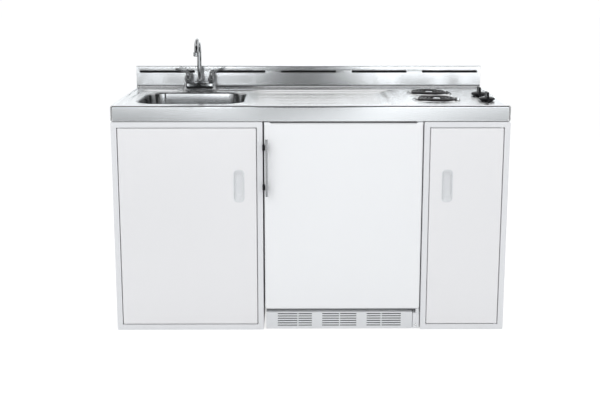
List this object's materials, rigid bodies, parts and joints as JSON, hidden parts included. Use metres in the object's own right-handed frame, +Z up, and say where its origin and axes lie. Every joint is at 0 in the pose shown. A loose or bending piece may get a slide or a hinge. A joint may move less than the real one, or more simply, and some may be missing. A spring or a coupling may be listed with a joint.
{
  "type": "kitchenette unit with sink and hob",
  "caption": "One-piece kitchenette: stainless worktop with bowl sink, ribbed drainer, tap and coil hotplates over white cupboards and a built-in refrigerator.",
  "frame": {"origin": "on the floor under the middle of the bounding box, which reaches from the refrigerator handle to the wall face", "axes": "+X to the right seen from the front, along the worktop; +Y from the front to the wall; +Z up"},
  "size_m": [1.524, 0.6536, 1.1183],
  "materials": {
    "stainless": "satin brushed",
    "chrome": "polished",
    "galvanised": "dull zinc",
    "evaporator_sheet": "matte",
    "white_enamel": "semi-gloss enamel",
    "white_plastic": "satin",
    "inner_plastic": "gloss",
    "black_plastic": "gloss",
    "black_element": "matte oxide",
    "black_paint": "semi-gloss",
    "ceramic": "unglazed",
    "gasket": "matte",
    "glass": "clear"
  },
  "bodies": {
    "unit": {"worktop": "stainless", "backsplash": "stainless", "sink_bowl": "stainless", "sink_strainer_body": "stainless", "sink_strainer_locknut": "white_plastic", "left_door_catch": "white_plastic", "right_door_catch": "white_plastic", "fridge_kick_grille": "white_plastic", "sink_tailpiece": "chrome", "tap_base": "chrome", "tap_spout_collar": "chrome", "front_drip_pan": "chrome", "rear_drip_pan": "chrome", "tap_fixing_nut_left": "galvanised", "tap_fixing_nut_right": "galvanised", "hob_tray": "galvanised", "front_heat_switch": "galvanised", "rear_heat_switch": "galvanised", "fridge_upper_hinge": "galvanised", "front_terminal_block": "ceramic", "rear_terminal_block": "ceramic", "left_cupboard_wrapper": "white_enamel", "left_cupboard_base": "white_enamel", "left_cupboard_frame": "white_enamel", "right_cupboard_wrapper": "white_enamel", "right_cupboard_base": "white_enamel", "right_cupboard_frame": "white_enamel", "right_cupboard_shelf": "white_enamel", "fridge_cabinet": "white_enamel", "fridge_lower_hinge": "white_enamel", "fridge_liner": "inner_plastic", "fridge_shelf_lower": "glass", "fridge_shelf_upper": "glass", "fridge_evaporator": "evaporator_sheet", "fridge_compressor": "black_paint", "fridge_condenser": "black_paint"},
    "left_door_leaf": {"left_door": "white_enamel", "left_door_pull": "white_plastic"},
    "right_door_leaf": {"right_door": "white_enamel", "right_door_pull": "white_plastic"},
    "fridge_door_leaf": {"fridge_door_shell": "white_enamel", "fridge_door_liner": "inner_plastic", "fridge_door_gasket": "gasket", "fridge_door_bin_lower": "inner_plastic", "fridge_door_bin_upper": "inner_plastic", "fridge_handle_bar": "chrome", "fridge_handle_block_upper": "black_plastic", "fridge_handle_block_lower": "black_plastic"},
    "hot_lever": {"tap_hot_lever": "chrome"},
    "cold_lever": {"tap_cold_lever": "chrome"},
    "spout": {"tap_spout": "chrome", "tap_aerator": "chrome"},
    "strainer_basket": {"sink_strainer_basket": "stainless"},
    "front_element": {"front_coil": "black_element", "front_coil_support": "chrome"},
    "rear_element": {"rear_coil": "black_element", "rear_coil_support": "chrome"},
    "front_control": {"front_knob": "black_plastic"},
    "rear_control": {"rear_knob": "black_plastic"},
    "thermostat": {"fridge_thermostat_dial": "white_plastic"}
  },
  "joints": [
    {"name": "left_door_hinge", "type": "hinge", "parent": "unit", "child": "left_door_leaf", "pos_m": [-0.7299, -0.2872, 0.421], "axis": [0, 0, -1], "range_deg": [0, 95]},
    {"name": "right_door_hinge", "type": "hinge", "parent": "unit", "child": "right_door_leaf", "pos_m": [0.7299, -0.2872, 0.421], "axis": [0, 0, 1], "range_deg": [0, 95]},
    {"name": "fridge_door_hinge", "type": "hinge", "parent": "unit", "child": "fridge_door_leaf", "pos_m": [0.4231, -0.2862, 0.456], "axis": [0, 0, 1], "range_deg": [0, 95]},
    {"name": "hot_lever_turn", "type": "hinge", "parent": "unit", "child": "hot_lever", "pos_m": [-0.527, 0.2388, 0.94], "axis": [0, 0, 1], "range_deg": [0, 90]},
    {"name": "cold_lever_turn", "type": "hinge", "parent": "unit", "child": "cold_lever", "pos_m": [-0.425, 0.2388, 0.94], "axis": [0, 0, -1], "range_deg": [0, 90]},
    {"name": "spout_swivel", "type": "hinge", "parent": "unit", "child": "spout", "pos_m": [-0.476, 0.2388, 0.94], "axis": [0, 0, 1], "range_deg": [-90, 90]},
    {"name": "strainer_basket_lift", "type": "slide", "parent": "unit", "child": "strainer_basket", "axis": [0, 0, 1], "range_m": [0, 0.1]},
    {"name": "front_element_tilt", "type": "hinge", "parent": "unit", "child": "front_element", "pos_m": [0.609, -0.1152, 0.88225], "axis": [0, 1, 0], "range_deg": [0, 10]},
    {"name": "rear_element_tilt", "type": "hinge", "parent": "unit", "child": "rear_element", "pos_m": [0.609, 0.0958, 0.88225], "axis": [0, 1, 0], "range_deg": [0, 10]},
    {"name": "front_knob_turn", "type": "hinge", "parent": "unit", "child": "front_control", "pos_m": [0.698, -0.1512, 0.91], "axis": [0, 0, 1], "continuous": true},
    {"name": "rear_knob_turn", "type": "hinge", "parent": "unit", "child": "rear_control", "pos_m": [0.698, 0.0078, 0.91], "axis": [0, 0, 1], "continuous": true},
    {"name": "thermostat_turn", "type": "hinge", "parent": "unit", "child": "thermostat", "pos_m": [0.377, -0.0802, 0.69], "axis": [1, 0, 0], "range_deg": [-135, 135]}
  ]
}
